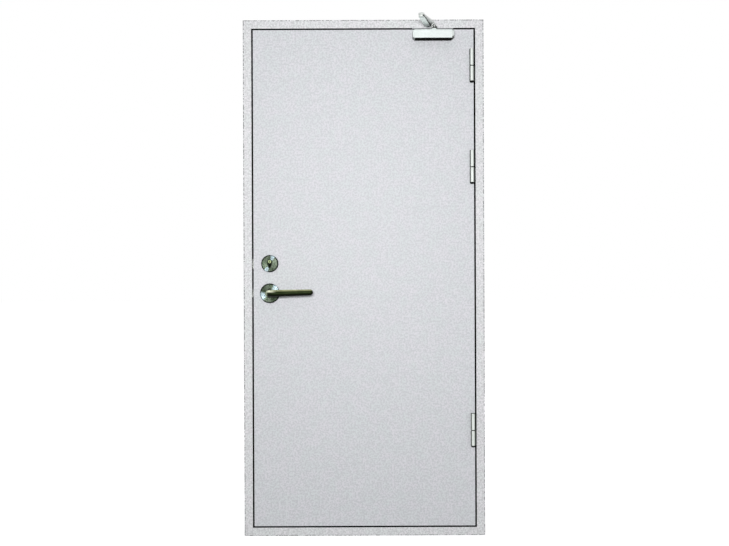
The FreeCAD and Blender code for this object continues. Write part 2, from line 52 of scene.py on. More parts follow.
# Tones
LEAF_TONE = (222, 224, 228)
FRAME_TONE = (234, 235, 237)
ARRIS_TONE = (126, 128, 130)
# Painted shade in the rebate, for the shade in the gap round the leaf
REBATE_SHADE_TONE = (16, 16, 15)
CLOSER_TONE = (238, 246, 244)
# Painted shade on the closer's underside and end faces
CLOSER_UNDERSIDE_SHADE_TONE = (28, 28, 26)
CLOSER_END_SHADE_TONE = (112, 116, 112)
ARM_TONE = (240, 244, 242)
# Painted shade on the arms' sides that face the hinge, and round the hub
MAIN_ARM_SIDE_SHADE_TONE = (234, 238, 235)
FOREARM_SIDE_SHADE_TONE = (36, 39, 37)
HUB_SHADE_TONE = (74, 78, 75)
ELBOW_TONE = (212, 217, 214)
SPINDLE_SPECK_TONE = (24, 26, 20)
SHOE_TONE = (56, 59, 54)
HINGE_TONE = (214, 219, 215)
# Painted shade on the hinges' sides
HINGE_SIDE_SHADE_TONE = (78, 82, 78)
# Painted shadow: near-black end caps stand for the shadow line under each hinge
HINGE_CAP_SHADOW_TONE = (22, 23, 22)
PIN_TONE = (24, 28, 22)
ROSE_TONE = (58, 65, 57)
# Painted highlights and painted shade of the roses
ROSE_HIGHLIGHT_SECTORS_TONE = (100, 112, 116)
ROSE_SHADE_TONE = (12, 15, 12)
# Painted highlights and painted shade of the lever
LEVER_TOP_HIGHLIGHT_TONE = (196, 202, 150)
LEVER_NECK_HIGHLIGHT_TONE = (250, 255, 226)
LEVER_BEND_HIGHLIGHT_TONE = (176, 190, 160)
LEVER_TONE = (27, 34, 17)
LEVER_UNDERSIDE_SHADE_TONE = (13, 15, 9)
PLUG_TONE = (118, 128, 96)
# Near-black cylinder: the keyway's own dark, and painted shade round the plug
CYLINDER_SHADE_TONE = (13, 16, 11)
LOCK_TONE = (196, 198, 194)
SCREW_TONE = (150, 153, 150)
DARK_NUT_TONE = (58, 60, 57)
RUBBER_TONE = (24, 24, 24)
BOARD_TONE = (202, 186, 150)

# Shifts of a tone
PAINT_TINT = (3, 0, 2)
METAL_TINT = (1, 0, 0)
REBATE_SHADE_GRAIN_SHIFT = (8, 8, 8)
UNDERSIDE_SHADE_GRAIN_SHIFT = (6, 6, 6)
SMEAR_SHIFT = (-14, -12, -14)
STREAK_SHIFT = (30, 30, 30)
ROSE_DARK_SHIFT = (-16, -14, -18)
ROSE_PALE_SHIFT = (10, 10, 8)
BLOOM_SHIFT = (14, 14, 14)
FIBRE_SHIFT = (-22, -22, -22)

# Mottle of a coat: the size of its clouds, the size of its grains, and how far it darkens between them
LEAF_MOTTLE = (0.045, 0.007, 20)
FRAME_MOTTLE = (0.045, 0.007, 28)
CLOSER_MOTTLE = (0.03, 0.006, 7)
ARM_MOTTLE = (0.02, 0.003, 10)
mottle_octaves = 3
CLOUD_LEVELS = (0.35, 0.65)
GRAIN_LEVELS = (0.36, 0.64)

# Spots: grains to a metre, octaves, and the two levels of the noise between which a spot fades
ARRIS_SPOTS = (170, 1, 0.42, 0.58)
SMEARS = (35, 3, 0.35, 0.65)
ROSE_SMEARS = (60, 3, 0.35, 0.65)
SPINDLE_SPECKS = (260, 2, 0.46, 0.54)
RUBBER_BLOOM = (45, 4, 0.4, 0.7)
noise_roughness = 0.55

# Relief: grains to a metre, octaves, strength and depth
ORANGE_PEEL = (420, 2, 0.12, 0.0006)
CAST_SKIN = (900, 3, 0.1, 0.0004)
PLATING = (1100, 2, 0.08, 0.0003)
RUBBER_SKIN = (1500, 2, 0.2, 0.0003)

# Brushing: lines to a metre along and across the brush, and how much of its smears and streaks shows
brush_along = 60
brush_across = 1600
brush_octaves = 4
BRUSH_LEVELS = (0.3, 0.7)
BRUSH_RELIEF = (0.08, 0.0003)
smear_share = 0.25
streak_share = 0.12

# Fibres of the filling: fibres to a metre along each axis
FIBRE_STRETCH = (300, 60, 300)
fibre_octaves = 5
FIBRE_LEVELS = (0.3, 0.7)
FIBRE_RELIEF = (0.3, 0.0005)

# Roughness: the least of it, and what the pattern adds
PAINT_ROUGHNESS = (0.5, 0.1)
CLOSER_ROUGHNESS = (0.4, 0.12)
ARM_ROUGHNESS = (0.32, 0.1)
ROSE_ROUGHNESS = (0.26, 0.1)
RUBBER_ROUGHNESS = (0.6, 0.2)
BOARD_ROUGHNESS = (0.8, 0.1)
hinge_roughness = 0.5
lever_roughness = 0.42
brushed_roughness_added = 0.12
dull_roughness = 0.95

# Gloss of the paint, and how far a bright coat is metal
paint_specular = 0.35
bare_metal = 1.0
main_arm_metal = 0.12
hinge_metal = 0.3

# Facing of painted light and shade: how far a surface faces along an axis where a tone begins, and where it
# is whole
CLOSER_RIGHT_END_SHADE = (0.22, 0.6)
CLOSER_LEFT_END_SHADE = (0.72, 0.95)
CLOSER_UNDERSIDE_SHADE = (0.7, 0.85)
ARM_SIDE_SHADE = (0.3, 0.6)
HINGE_LIT_FRONT = (0.6, 0.86)
LEVER_NECK_HIGHLIGHT = (0.1, 0.6)
LEVER_TOP_HIGHLIGHT = (0.36, 0.94)
LEVER_UNDERSIDE_SHADE = (0, 0.5)

# Sizes of the patterns
edge_fade = 0.0007
arris_width = 0.004
pale_lip_depth = 0.009
hub_shade_radius = 0.0135
specks_radius = 0.034
lever_bend_length = 0.012
lever_neck_length = 0.05
lever_fade_start = 1 / 3
ring_pitch = 0.0005
ring_slope = 0.2
rim_shade_width = 0.006
keyhole_rise = 0.003
opening_flatness = 0.75

# Roses: shares of the radius between which the painted shade round the opening fades, and the painted
# highlights begin
OPENING_SHADE_SHARES = (0.22, 0.38)
HIGHLIGHT_SHARES = (0.35, 0.6)

# Painted highlights of each rose, two apiece: the angle of the middle of each, and the cosine at which the
# highlight begins
ROSE_HIGHLIGHT_SECTORS = {"lever_rose": ((43, 0.88), (198, 0.82)), "cylinder_rose": ((66, 0.93), (243, 0.94))}

# Plain steels: tone, the axis of the brushing, and the least roughness
PLAIN_STEELS = {
    "pin_steel": (PIN_TONE, "Z", 0.4),
    # End caps: real caps, made near-black as a painted shadow under each hinge
    "cap_steel": (HINGE_CAP_SHADOW_TONE, "Z", 0.5),
    "lock_steel": (LOCK_TONE, "Z", 0.28),
    # Near-black cylinder: the keyway's own dark, and painted shade round the plug
    "cylinder_nickel": (CYLINDER_SHADE_TONE, "Y", 0.5),
    "plug_nickel": (PLUG_TONE, "Z", 0.45),
    "screw_steel": (SCREW_TONE, "X", 0.34),
    "dark_nut_steel": (DARK_NUT_TONE, "X", 0.36),
    "shoe_steel": (SHOE_TONE, "X", 0.4),
}

# Screw heads and end caps: radius and height, and shares of them
FLUSH_HEAD = (0.0042, 0.0006)
PAN_HEAD = (0.0045, 0.0024)
END_CAP = (0.0088, 0.0065)
head_crown = 0.72
head_rim_share = 0.4
slot_width = 0.0011
slot_length_share = 1.15
slot_height_share = 0.9
screw_segments = 24
seat_depth = 0.0002

# Places of the screws
hinge_plate = 0.002
hinge_screw_depth = 0.026
HINGE_SCREW_SHARES = (0.18, 0.5, 0.82)
lock_edge_set_back = 0.002
lock_edge_depth = 0.0438
strip_screw_inset = 0.010
shoe_screw_spread = 0.011
shoe_screw_drop = 0.006
shoe_plate_width = 0.034
shoe_plate_thickness = 0.003
valve_screw_spread = 0.016

# Turned fittings
turned_segments = 48
hub_height = 0.0075
hub_washer_radius = 0.0075
hub_washer_height = 0.0012
hub_nut_radius = 0.0062
hub_nut_height = 0.005
nut_sides = 6
nut_rim_share = 0.8
nut_top_share = 0.86
elbow_radius = 0.0115
elbow_head_radius = 0.0072
elbow_head_height = 0.003
dome_rim_share = 0.3
dome_steps = 6
plug_seat_radius = 0.0085
plug_radius = 0.0066
plug_thickness = 0.0011
keyway_width = 0.0024
keyway_height = 0.009

# Studio
WHITE = (1, 1, 1, 1)
FLOOR_COLOUR = (0.4, 0.4, 0.4, 1)
floor_glow = 0.88
floor_half_size = 30
ambient_light = 0.34
backdrop_light = 1.0
SOFTBOXES = {
    "front_softbox": {
        "place": (-0.1, -3.9, 1.45), "aim": (0, 0, 1.75), "size": (0.9, 0.45), "spread": 150, "power": 72,
    },
    "back_softbox": {
        "place": (0.8, 4.2, 1.9), "aim": (0, 0, 1.2), "size": (1.8, 1.4), "spread": 180, "power": 120,
    },
}

# Sockets that share their name with others on the same node, by number
mix_factor = 0
mix_first_colour = 6
mix_second_colour = 7
mixed_colour = 2
random_low = 2
random_high = 3
random_number = 1


# Places in the part

def middle(node):
    """Middle of a node's box."""
    low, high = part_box(node)
    return (low + high) / 2


HINGES = ("top_hinge", "middle_hinge", "bottom_hinge")
TOWARDS_LOCK = (-1, 0, 0)
TOWARDS_HINGE = (1, 0, 0)
TOWARDS_VIEWER = (0, -1, 0)
UPWARDS = (0, 0, 1)
DOWNWARDS = (0, 0, -1)

frame_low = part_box("lock_jamb")[0]
frame_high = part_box("hinge_jamb")[1]
frame_face = frame_high.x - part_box("top_hinge_frame_half")[1].x
face_inset = frame_face - edge_fade
stop_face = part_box("hinge_side_seal")[1].y
rebate_low = frame_low + Vector((face_inset, -edge_fade, face_inset))
rebate_high = Vector((frame_high.x - face_inset, stop_face - edge_fade, frame_high.z - face_inset))
closer_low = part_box("closer_left_cap")[0]
closer_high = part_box("closer_right_cap")[1]
arm_low, arm_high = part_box("closer_main_arm")
spindle_place = middle("closer_spindle")
hub_place = Vector((spindle_place.x, spindle_place.y, arm_low.z + hub_height))
elbow_place = Vector((arm_low.x + elbow_radius, arm_low.y + elbow_radius, arm_high.z))
lever_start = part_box("front_lever")[0].x
cylinder_low, cylinder_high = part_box("lock_cylinder")


# Node trees

class Value:
    """A socket in a node tree; arithmetic on it adds Math nodes."""

    def __init__(self, tree, socket):
        self.tree = tree
        self.socket = socket

    def math(self, operation, first, second):
        return self.tree.add("ShaderNodeMath", {"operation": operation}, {0: first, 1: second})

    def __add__(self, other):
        return self.math("ADD", self, other)

    def __radd__(self, other):
        return self.math("ADD", other, self)

    def __sub__(self, other):
        return self.math("SUBTRACT", self, other)

    def __rsub__(self, other):
        return self.math("SUBTRACT", other, self)

    def __neg__(self):
        return self.math("SUBTRACT", 0, self)

    def __mul__(self, other):
        return self.math("MULTIPLY", self, other)

    def __rmul__(self, other):
        return self.math("MULTIPLY", other, self)


class NodeTree:
    """An emptied tree that nodes are added to, each with its settings first and then its sockets."""

    def __init__(self, tree):
        self.tree = tree
        self.tree.nodes.clear()

    def add(self, kind, settings, sockets, output=0):
        """A new node; gives the named one of its outputs, if it has any."""
        node = self.tree.nodes.new(kind)
        for name, setting in settings.items():
            setattr(node, name, setting)
        for name, value in sockets.items():
            self.feed(node.inputs[name], value)
        return Value(self, node.outputs[output]) if node.outputs else None

    def feed(self, socket, value):
        """Link a value to a socket, link each of a list to it, or set a number or a colour on it."""
        if isinstance(value, Value):
            self.tree.links.new(value.socket, socket)
        elif isinstance(value, list):
            for part in value:
                self.feed(socket, part)
        else:
            socket.default_value = value


class Finish(NodeTree):
    """A material patterned on Object coordinates."""

    def __init__(self, name):
        self.material = bpy.data.materials.new(name)
        self.material.use_nodes = True
        super().__init__(self.material.node_tree)
        self.place = self.add("ShaderNodeTexCoord", {}, {}, "Object")
        self.normal = self.add("ShaderNodeTexCoord", {}, {}, "Normal")
        self.shader = None

    def surface(self, sockets):
        """The shader, with the values or links of its sockets."""
        self.shader = self.add("ShaderNodeBsdfPrincipled", {}, sockets)

    def dull_where(self, share, colour):
        """Cover the shader with a dull layer where the share is 1."""
        sockets = {"Base Color": colour, "Roughness": dull_roughness, "Specular IOR Level": 0.0}
        layer = self.add("ShaderNodeBsdfPrincipled", {}, sockets)
        self.shader = self.add("ShaderNodeMixShader", {}, {0: share, 1: self.shader, 2: layer})

    def done(self):
        """Join the shader to the output, and give the material."""
        self.add("ShaderNodeOutputMaterial", {}, {"Surface": self.shader})
        return self.material

    def at(self, axis):
        """The place on the part along one axis."""
        return self.add("ShaderNodeSeparateXYZ", {}, {"Vector": self.place}, axis)

    def facing(self, axis):
        """How far the surface faces along one axis, from -1 to 1."""
        return self.add("ShaderNodeSeparateXYZ", {}, {"Vector": self.normal}, axis)

    def vector(self, operation, first, second=(0, 0, 0), output=0):
        return self.add("ShaderNodeVectorMath", {"operation": operation}, {0: first, 1: second}, output)

    def away_from(self, centre, shares):
        """The offset from a point, with each axis counted by its share."""
        return self.vector("MULTIPLY", self.vector("SUBTRACT", self.place, centre), shares)

    def length(self, vector):
        return self.vector("LENGTH", vector, output="Value")

    def noise(self, scale, octaves, stretch=(1, 1, 1)):
        stretched = self.add("ShaderNodeMapping", {}, {"Vector": self.place, "Scale": stretch})
        sockets = {"Vector": stretched, "Scale": scale, "Detail": octaves, "Roughness": noise_roughness}
        return self.add("ShaderNodeTexNoise", {}, sockets)

    def mask(self, value, low, high):
        """0 below low, 1 above high, and smooth between them."""
        sockets = {"Value": value, "From Min": low, "From Max": high}
        return self.add("ShaderNodeMapRange", {"interpolation_type": "SMOOTHSTEP"}, sockets)

    def before(self, value, limit):
        """1 below a limit, fading over a short length."""
        return self.mask(limit - value, 0, edge_fade)

    def past(self, value, limit):
        """1 above a limit, fading over a short length."""
        return self.mask(value - limit, 0, edge_fade)

    def beyond(self, value, low, high):
        """1 outside two limits."""
        return self.before(value, low) + self.past(value, high)

    def spots(self, pattern):
        """Spots of a noise, 1 on a spot and 0 between them."""
        scale, octaves, low, high = pattern
        return self.mask(self.noise(scale, octaves), low, high)

    def bump(self, height, strength, depth):
        sockets = {"Height": height, "Strength": strength, "Distance": depth}
        return self.add("ShaderNodeBump", {}, sockets)

    def relief(self, pattern):
        """The normal of a fine uneven skin."""
        scale, octaves, strength, depth = pattern
        return self.bump(self.noise(scale, octaves), strength, depth)

    def blend(self, factor, first, second):
        """From the first colour to the second."""
        settings = {"data_type": "RGBA", "blend_type": "MIX"}
        sockets = {mix_factor: factor, mix_first_colour: first, mix_second_colour: second}
        return self.add("ShaderNodeMix", settings, sockets, mixed_colour)


def linear(tone):
    """Linear colour of a screen tone."""
    shares = [value / 255 for value in tone]
    colour = [share / 12.92 if share <= 0.04045 else ((share + 0.055) / 1.055) ** 2.4 for share in shares]
    return (*colour, 1.0)


def shifted(tone, shift):
    """Linear colour of a tone moved by a few screen values in each channel."""
    return linear([max(0, value + change) for value, change in zip(tone, shift)])


def rough(roughness, pattern):
    """Roughness that follows a pattern."""
    least, added = roughness
    return least + added * pattern


# Finishes

def mottled(finish, tone, tint, mottle):
    """A tone that drifts between two faint tints, darkened between its grains; gives the grains too."""
    cloud_size, grain_size, depth = mottle
    cloud = finish.mask(finish.noise(1 / cloud_size, mottle_octaves), *CLOUD_LEVELS)
    grain = finish.mask(finish.noise(1 / grain_size, mottle_octaves), *GRAIN_LEVELS)
    opposite = [-change for change in tint]
    drift = finish.blend(cloud, shifted(tone, tint), shifted(tone, opposite))
    return finish.blend(grain, shifted(tone, (-depth, -depth, -depth)), drift), grain


def satin_paint(paint, colour, grain):
    """Sprayed satin paint on sheet steel, with orange peel."""
    paint.surface({
        "Base Color": colour,
        "Roughness": rough(PAINT_ROUGHNESS, grain),
        "Specular IOR Level": paint_specular,
        "Normal": paint.relief(ORANGE_PEEL),
    })


def leaf_finish(name):
    """Satin paint in the leaf's tone."""
    paint = Finish(name)
    satin_paint(paint, *mottled(paint, LEAF_TONE, PAINT_TINT, LEAF_MOTTLE))
    return paint.done()


def outer_arris(paint):
    """1 along the outer edges of the frame's front."""
    across = paint.beyond(paint.at("X"), frame_low.x + arris_width, frame_high.x - arris_width)
    upright = paint.beyond(paint.at("Z"), frame_low.z + arris_width, frame_high.z - arris_width)
    at_front = paint.before(paint.at("Y"), frame_low.y + 2 * edge_fade)
    return paint.mask(across + upright, 0, 1) * at_front


def painted_rebate_shade(paint):
    """1 in the rebate round the leaf, where shade is painted, except on the lip of the head over the closer,
    left pale for the light thrown up by the closer's top.
    """
    x, y, z = [paint.at(axis) for axis in "XYZ"]
    past_closer = paint.beyond(x, closer_low.x, closer_high.x) + paint.before(z, closer_high.z)
    past_lip = paint.past(y, frame_low.y + pale_lip_depth)
    pale_lip = 1 - paint.mask(past_closer + past_lip, 0, 1)
    outside = paint.beyond(x, rebate_low.x, rebate_high.x) + paint.beyond(z, rebate_low.z, rebate_high.z)
    outside = outside + paint.beyond(y, rebate_low.y, rebate_high.y)
    return 1 - paint.mask(outside + pale_lip, 0, 1)


def frame_finish(name):
    """The leaf's kind of paint, spotted darker grey along the outer arris, with painted shade in dull black
    in the rebate.
    """
    paint = Finish(name)
    colour, grain = mottled(paint, FRAME_TONE, PAINT_TINT, FRAME_MOTTLE)
    # Darker grey spots along the outer arris
    arris_spotted = outer_arris(paint) * paint.spots(ARRIS_SPOTS)
    satin_paint(paint, paint.blend(arris_spotted, colour, linear(ARRIS_TONE)), grain)
    # Painted shade: dull near-black over the rebate, for the shade in the gap round the leaf
    black = paint.blend(grain, linear(REBATE_SHADE_TONE), shifted(REBATE_SHADE_TONE, REBATE_SHADE_GRAIN_SHIFT))
    paint.dull_where(painted_rebate_shade(paint), black)
    return paint.done()


def closer_finish(name):
    """Silver white stove paint on a casting, with painted shade: greyer on its end faces, and dull and
    near-black on its underside.
    """
    paint = Finish(name)
    colour, grain = mottled(paint, CLOSER_TONE, METAL_TINT, CLOSER_MOTTLE)
    sideways = paint.facing("X")
    # Painted shade: the end faces are greyer
    ends = paint.mask(sideways, *CLOSER_RIGHT_END_SHADE) + paint.mask(-sideways, *CLOSER_LEFT_END_SHADE)
    paint.surface({
        "Base Color": paint.blend(ends, colour, linear(CLOSER_END_SHADE_TONE)),
        "Roughness": rough(CLOSER_ROUGHNESS, grain),
        "Normal": paint.relief(CAST_SKIN),
    })
    # Painted shade: the underside is dull and near-black
    underside = paint.mask(-paint.facing("Z"), *CLOSER_UNDERSIDE_SHADE)
    dark = paint.blend(grain, linear(CLOSER_UNDERSIDE_SHADE_TONE), shifted(CLOSER_UNDERSIDE_SHADE_TONE, UNDERSIDE_SHADE_GRAIN_SHIFT))
    paint.dull_where(underside, dark)
    return paint.done()


def brushed(steel, colour, tone, grain_along, roughness, metallic=bare_metal):
    """Give a steel its shader, with a colour and the marks of brushing along one axis."""
    stretch = tuple(brush_along if axis == grain_along else brush_across for axis in "XYZ")
    lines = steel.noise(1, brush_octaves, stretch)
    smear = steel.spots(SMEARS)
    streak = steel.mask(lines, *BRUSH_LEVELS)
    smeared = steel.blend(smear * smear_share, colour, shifted(tone, SMEAR_SHIFT))
    steel.surface({
        "Base Color": steel.blend(streak * streak_share, smeared, shifted(tone, STREAK_SHIFT)),
        "Metallic": metallic,
        "Roughness": rough((roughness, brushed_roughness_added), smear),
        "Normal": steel.bump(lines, *BRUSH_RELIEF),
    })


def brushed_steel(name, tone, grain_along, roughness):
    """Satin steel brushed along one axis."""
    steel = Finish(name)
    brushed(steel, linear(tone), tone, grain_along, roughness)
    return steel.done()


def hinge_finish(name):
    """Hinge steel, bright where it faces the front, with painted shade on its sides: a dull dark layer
    everywhere else.
    """
    steel = Finish(name)
    polished = steel.mask(-steel.facing("Y"), *HINGE_LIT_FRONT)
    brushed(steel, linear(HINGE_TONE), HINGE_TONE, "Z", hinge_roughness, hinge_metal)
    # Painted shade: dull dark grey wherever the hinge doesn't face the front
    steel.dull_where(1 - polished, linear(HINGE_SIDE_SHADE_TONE))
    return steel.done()


def lever_finish(name):
    """Dark olive steel, with painted highlights on its top and near its neck, a painted highlight where it
    bends out of the neck, and painted shade in black below.
    """
    steel = Finish(name)
    up = steel.facing("Z")
    along = steel.at("X") - lever_start
    past_neck = steel.mask(along, lever_neck_length * lever_fade_start, lever_neck_length)
    past_bend = steel.mask(along, lever_bend_length * lever_fade_start, lever_bend_length)
    # Painted highlights on the top and near the neck, and painted shade on the underside
    neck = steel.mask(up, *LEVER_NECK_HIGHLIGHT) * (1 - past_neck)
    colour = steel.blend(steel.mask(up, *LEVER_TOP_HIGHLIGHT), linear(LEVER_TONE), linear(LEVER_TOP_HIGHLIGHT_TONE))
    colour = steel.blend(neck, colour, linear(LEVER_NECK_HIGHLIGHT_TONE))
    colour = steel.blend(steel.mask(-up, *LEVER_UNDERSIDE_SHADE), colour, linear(LEVER_UNDERSIDE_SHADE_TONE))
    # Painted highlight where the lever bends out of its neck
    colour = steel.blend(past_bend, linear(LEVER_BEND_HIGHLIGHT_TONE), colour)
    brushed(steel, colour, LEVER_TONE, "X", lever_roughness)
    return steel.done()


def turned_normal(steel, radius, outward):
    """The normal of a face turned in fine rings."""
    rings = steel.add("ShaderNodeMath", {"operation": "SINE"}, {0: radius * (2 * math.pi / ring_pitch)})
    scaled = {0: outward, "Scale": rings * ring_slope}
    lean = steel.add("ShaderNodeVectorMath", {"operation": "SCALE"}, scaled)
    turn = {"vector_type": "VECTOR", "convert_from": "OBJECT", "convert_to": "WORLD"}
    lean = steel.add("ShaderNodeVectorTransform", turn, {"Vector": lean})
    flat = steel.add("ShaderNodeNewGeometry", {}, {}, "Normal")
    return steel.vector("NORMALIZE", steel.vector("ADD", flat, lean))


def rose_finish(name, rose):
    """Satin steel turned in fine rings, with painted shade at its rim and round its opening, and two painted
    highlights.
    """
    steel = Finish(name)
    low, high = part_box("front_" + rose)
    centre = (low + high) / 2
    rim_radius = (high.x - low.x) / 2
    opening_shade_radii = [share * rim_radius for share in OPENING_SHADE_SHARES]
    highlight_radii = [share * rim_radius for share in HIGHLIGHT_SHARES]
    radial = steel.away_from(centre, (1, 0, 1))
    radius = steel.length(radial)
    outward = steel.vector("NORMALIZE", radial)
    opening = centre + Vector((0, 0, keyhole_rise))
    from_opening = steel.length(steel.away_from(opening, (1, 0, opening_flatness)))
    smear = steel.spots(ROSE_SMEARS)
    colour = steel.blend(smear, shifted(ROSE_TONE, ROSE_DARK_SHIFT), shifted(ROSE_TONE, ROSE_PALE_SHIFT))
    # Painted shade: dark at the rim and round the opening, where the rose's edge, the lever's neck and the
    # plug cast shade
    rim = steel.mask(radius, rim_radius - rim_shade_width, rim_radius - rim_shade_width / 2)
    opening_shade = 1 - steel.mask(from_opening, *opening_shade_radii)
    colour = steel.blend(steel.mask(rim + opening_shade, 0, 1), colour, linear(ROSE_SHADE_TONE))
    # Painted highlights: two pale wedges where the turned face would catch the light
    reach = steel.mask(radius, *highlight_radii)
    for angle, start in ROSE_HIGHLIGHT_SECTORS[rose]:
        towards = (math.cos(math.radians(angle)), 0, math.sin(math.radians(angle)))
        sector = steel.mask(steel.vector("DOT_PRODUCT", outward, towards, output="Value"), start, 1)
        colour = steel.blend(sector * reach, colour, linear(ROSE_HIGHLIGHT_SECTORS_TONE))
    steel.surface({
        "Base Color": colour,
        "Metallic": bare_metal,
        "Roughness": rough(ROSE_ROUGHNESS, smear),
        "Normal": turned_normal(steel, radius, outward),
    })
    return steel.done()


def arm_finish(name, side_shade_tone, metallic):
    """Bright plated bar, greyer at the elbow, with dark specks round the spindle, painted shade round the
    hub, and painted shade on its hinge side, dark on the forearm and pale on the main arm.
    """
    steel = Finish(name)
    colour, grain = mottled(steel, ARM_TONE, METAL_TINT, ARM_MOTTLE)
    from_spindle = steel.length(steel.away_from(spindle_place, (1, 1, 0)))
    from_elbow = steel.length(steel.away_from(elbow_place, (1, 1, 0)))
    # Dark specks round the spindle
    near_spindle = 1 - steel.mask(from_spindle, specks_radius / 2, specks_radius)
    specks = steel.spots(SPINDLE_SPECKS) * near_spindle
    colour = steel.blend(1 - steel.past(from_elbow, elbow_radius), colour, linear(ELBOW_TONE))
    colour = steel.blend(specks, colour, linear(SPINDLE_SPECK_TONE))
    # Painted shade on the side facing the hinge
    colour = steel.blend(steel.mask(steel.facing("X"), *ARM_SIDE_SHADE), colour, linear(side_shade_tone))
    # Painted shade round the hub
    colour = steel.blend(1 - steel.past(from_spindle, hub_shade_radius), colour, linear(HUB_SHADE_TONE))
    steel.surface({
        "Base Color": colour,
        "Metallic": metallic,
        "Roughness": rough(ARM_ROUGHNESS, grain),
        "Normal": steel.relief(PLATING),
    })
    return steel.done()


def seal_finish(name):
    """Soft black sealing rubber with a bloom of dust."""
    rubber = Finish(name)
    bloom = rubber.spots(RUBBER_BLOOM)
    rubber.surface({
        "Base Color": rubber.blend(bloom, linear(RUBBER_TONE), shifted(RUBBER_TONE, BLOOM_SHIFT)),
        "Roughness": rough(RUBBER_ROUGHNESS, bloom),
        "Normal": rubber.relief(RUBBER_SKIN),
    })
    return rubber.done()


def filling_finish(name):
    """Pressed fibre board inside the leaf."""
    board = Finish(name)
    fibre = board.mask(board.noise(1, fibre_octaves, FIBRE_STRETCH), *FIBRE_LEVELS)
    board.surface({
        "Base Color": board.blend(fibre, shifted(BOARD_TONE, FIBRE_SHIFT), linear(BOARD_TONE)),
        "Roughness": rough(BOARD_ROUGHNESS, fibre),
        "Normal": board.bump(fibre, *FIBRE_RELIEF),
    })
    return board.done()


finishes = {
    "leaf_paint": leaf_finish("leaf_paint"),
    "frame_paint": frame_finish("frame_paint"),
    "closer_paint": closer_finish("closer_paint"),
    "hinge_steel": hinge_finish("hinge_steel"),
    "lever_steel": lever_finish("lever_steel"),
    "lever_rose_steel": rose_finish("lever_rose_steel", "lever_rose"),
    "cylinder_rose_steel": rose_finish("cylinder_rose_steel", "cylinder_rose"),
    "main_arm_steel": arm_finish("main_arm_steel", MAIN_ARM_SIDE_SHADE_TONE, main_arm_metal),
    "forearm_steel": arm_finish("forearm_steel", FOREARM_SIDE_SHADE_TONE, bare_metal),
    "seal_rubber": seal_finish("seal_rubber"),
    "core_board": filling_finish("core_board"),
}
for steel_name, (tone, grain_along, roughness) in PLAIN_STEELS.items():
    finishes[steel_name] = brushed_steel(steel_name, tone, grain_along, roughness)

FINISHED_NODES = {
    "frame_paint": ["hinge_jamb", "lock_jamb", "frame_head", "sill", "strike_box"],
    "leaf_paint": ["leaf_front_skin", "leaf_back_skin", "leaf_top_channel", "leaf_bottom_channel"],
    "core_board": ["leaf_core"],
    "seal_rubber": ["sill_seal", "head_seal", "lock_side_seal", "hinge_side_seal"],
    "lock_steel": ["strike_plate", "lock_case", "lock_faceplate", "latch_bolt", "dead_bolt", "lever_spindle"],
    "cylinder_nickel": ["lock_cylinder"],
    "lever_steel": ["front_lever", "back_lever"],
    "lever_rose_steel": ["front_lever_rose", "back_lever_rose"],
    "cylinder_rose_steel": ["front_cylinder_rose", "back_cylinder_rose"],
    "hinge_steel": [f"{hinge}_{half}" for hinge in HINGES for half in ("frame_half", "door_half")],
    "pin_steel": [hinge + "_pin" for hinge in HINGES],
    "closer_paint": ["closer_body", "closer_left_cap", "closer_right_cap"],
    "dark_nut_steel": ["closer_spindle"],
    "main_arm_steel": ["closer_main_arm"],
    "forearm_steel": ["closer_forearm"],
    "shoe_steel": ["closer_shoe"],
}
for finish_name, nodes in FINISHED_NODES.items():
    for node in nodes:
        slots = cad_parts[node].data.materials
        slots.clear()
        slots.append(finishes[finish_name])


# Pieces added to the part

def add_piece(name, mesh, finish_name, body):
    """An object whose place is in its mesh, riding on a body."""
    mesh.materials.clear()
    mesh.materials.append(finishes[finish_name])
    piece = bpy.data.objects.new(name, mesh)
    bpy.context.scene.collection.objects.link(piece)
    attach(piece, body)


def mesh_from(shape, name):
    """A mesh from a finished shape, which is freed."""
    mesh = bpy.data.meshes.new(name)
    shape.to_mesh(mesh)
    shape.free()
    return mesh


def circle_angles(segments):
    return [2 * math.pi * step / segments for step in range(segments)]


# Screw heads and end caps

HEAD_SIZES = ("Head Radius", "Head Height", "Crown", "Slot Width")


def head_shape(nodes, segments, crosshead):
    """A round head with a straight rim and a tapered top, plain or with a cross cut into it."""
    radius, height, crown, width = [nodes.add("NodeGroupInput", {}, {}, size) for size in HEAD_SIZES]
    rim_height = height * head_rim_share
    base = {"Vertices": segments, "Radius Bottom": radius}
    rim = nodes.add("GeometryNodeMeshCone", {}, {**base, "Radius Top": radius, "Depth": rim_height})
    taper = {**base, "Radius Top": radius * crown, "Depth": height * (1 - head_rim_share)}
    top = nodes.add("GeometryNodeMeshCone", {}, taper)
    on_rim = nodes.add("ShaderNodeCombineXYZ", {}, {"Z": rim_height})
    top = nodes.add("GeometryNodeTransform", {}, {"Geometry": top, "Translation": on_rim})
    head = nodes.add("GeometryNodeMeshBoolean", {"operation": "UNION"}, {"Mesh 2": [rim, top]})
    if not crosshead:
        return head
    at_top = nodes.add("ShaderNodeCombineXYZ", {}, {"Z": height})
    bars = []
    for along, across in (("X", "Y"), ("Y", "X")):
        sides = {along: radius * slot_length_share, across: width, "Z": height * slot_height_share}
        size = nodes.add("ShaderNodeCombineXYZ", {}, sides)
        bar = nodes.add("GeometryNodeMeshCube", {}, {"Size": size})
        bars.append(nodes.add("GeometryNodeTransform", {}, {"Geometry": bar, "Translation": at_top}))
    cut = {"Mesh 1": head, "Mesh 2": bars}
    return nodes.add("GeometryNodeMeshBoolean", {"operation": "DIFFERENCE"}, cut)


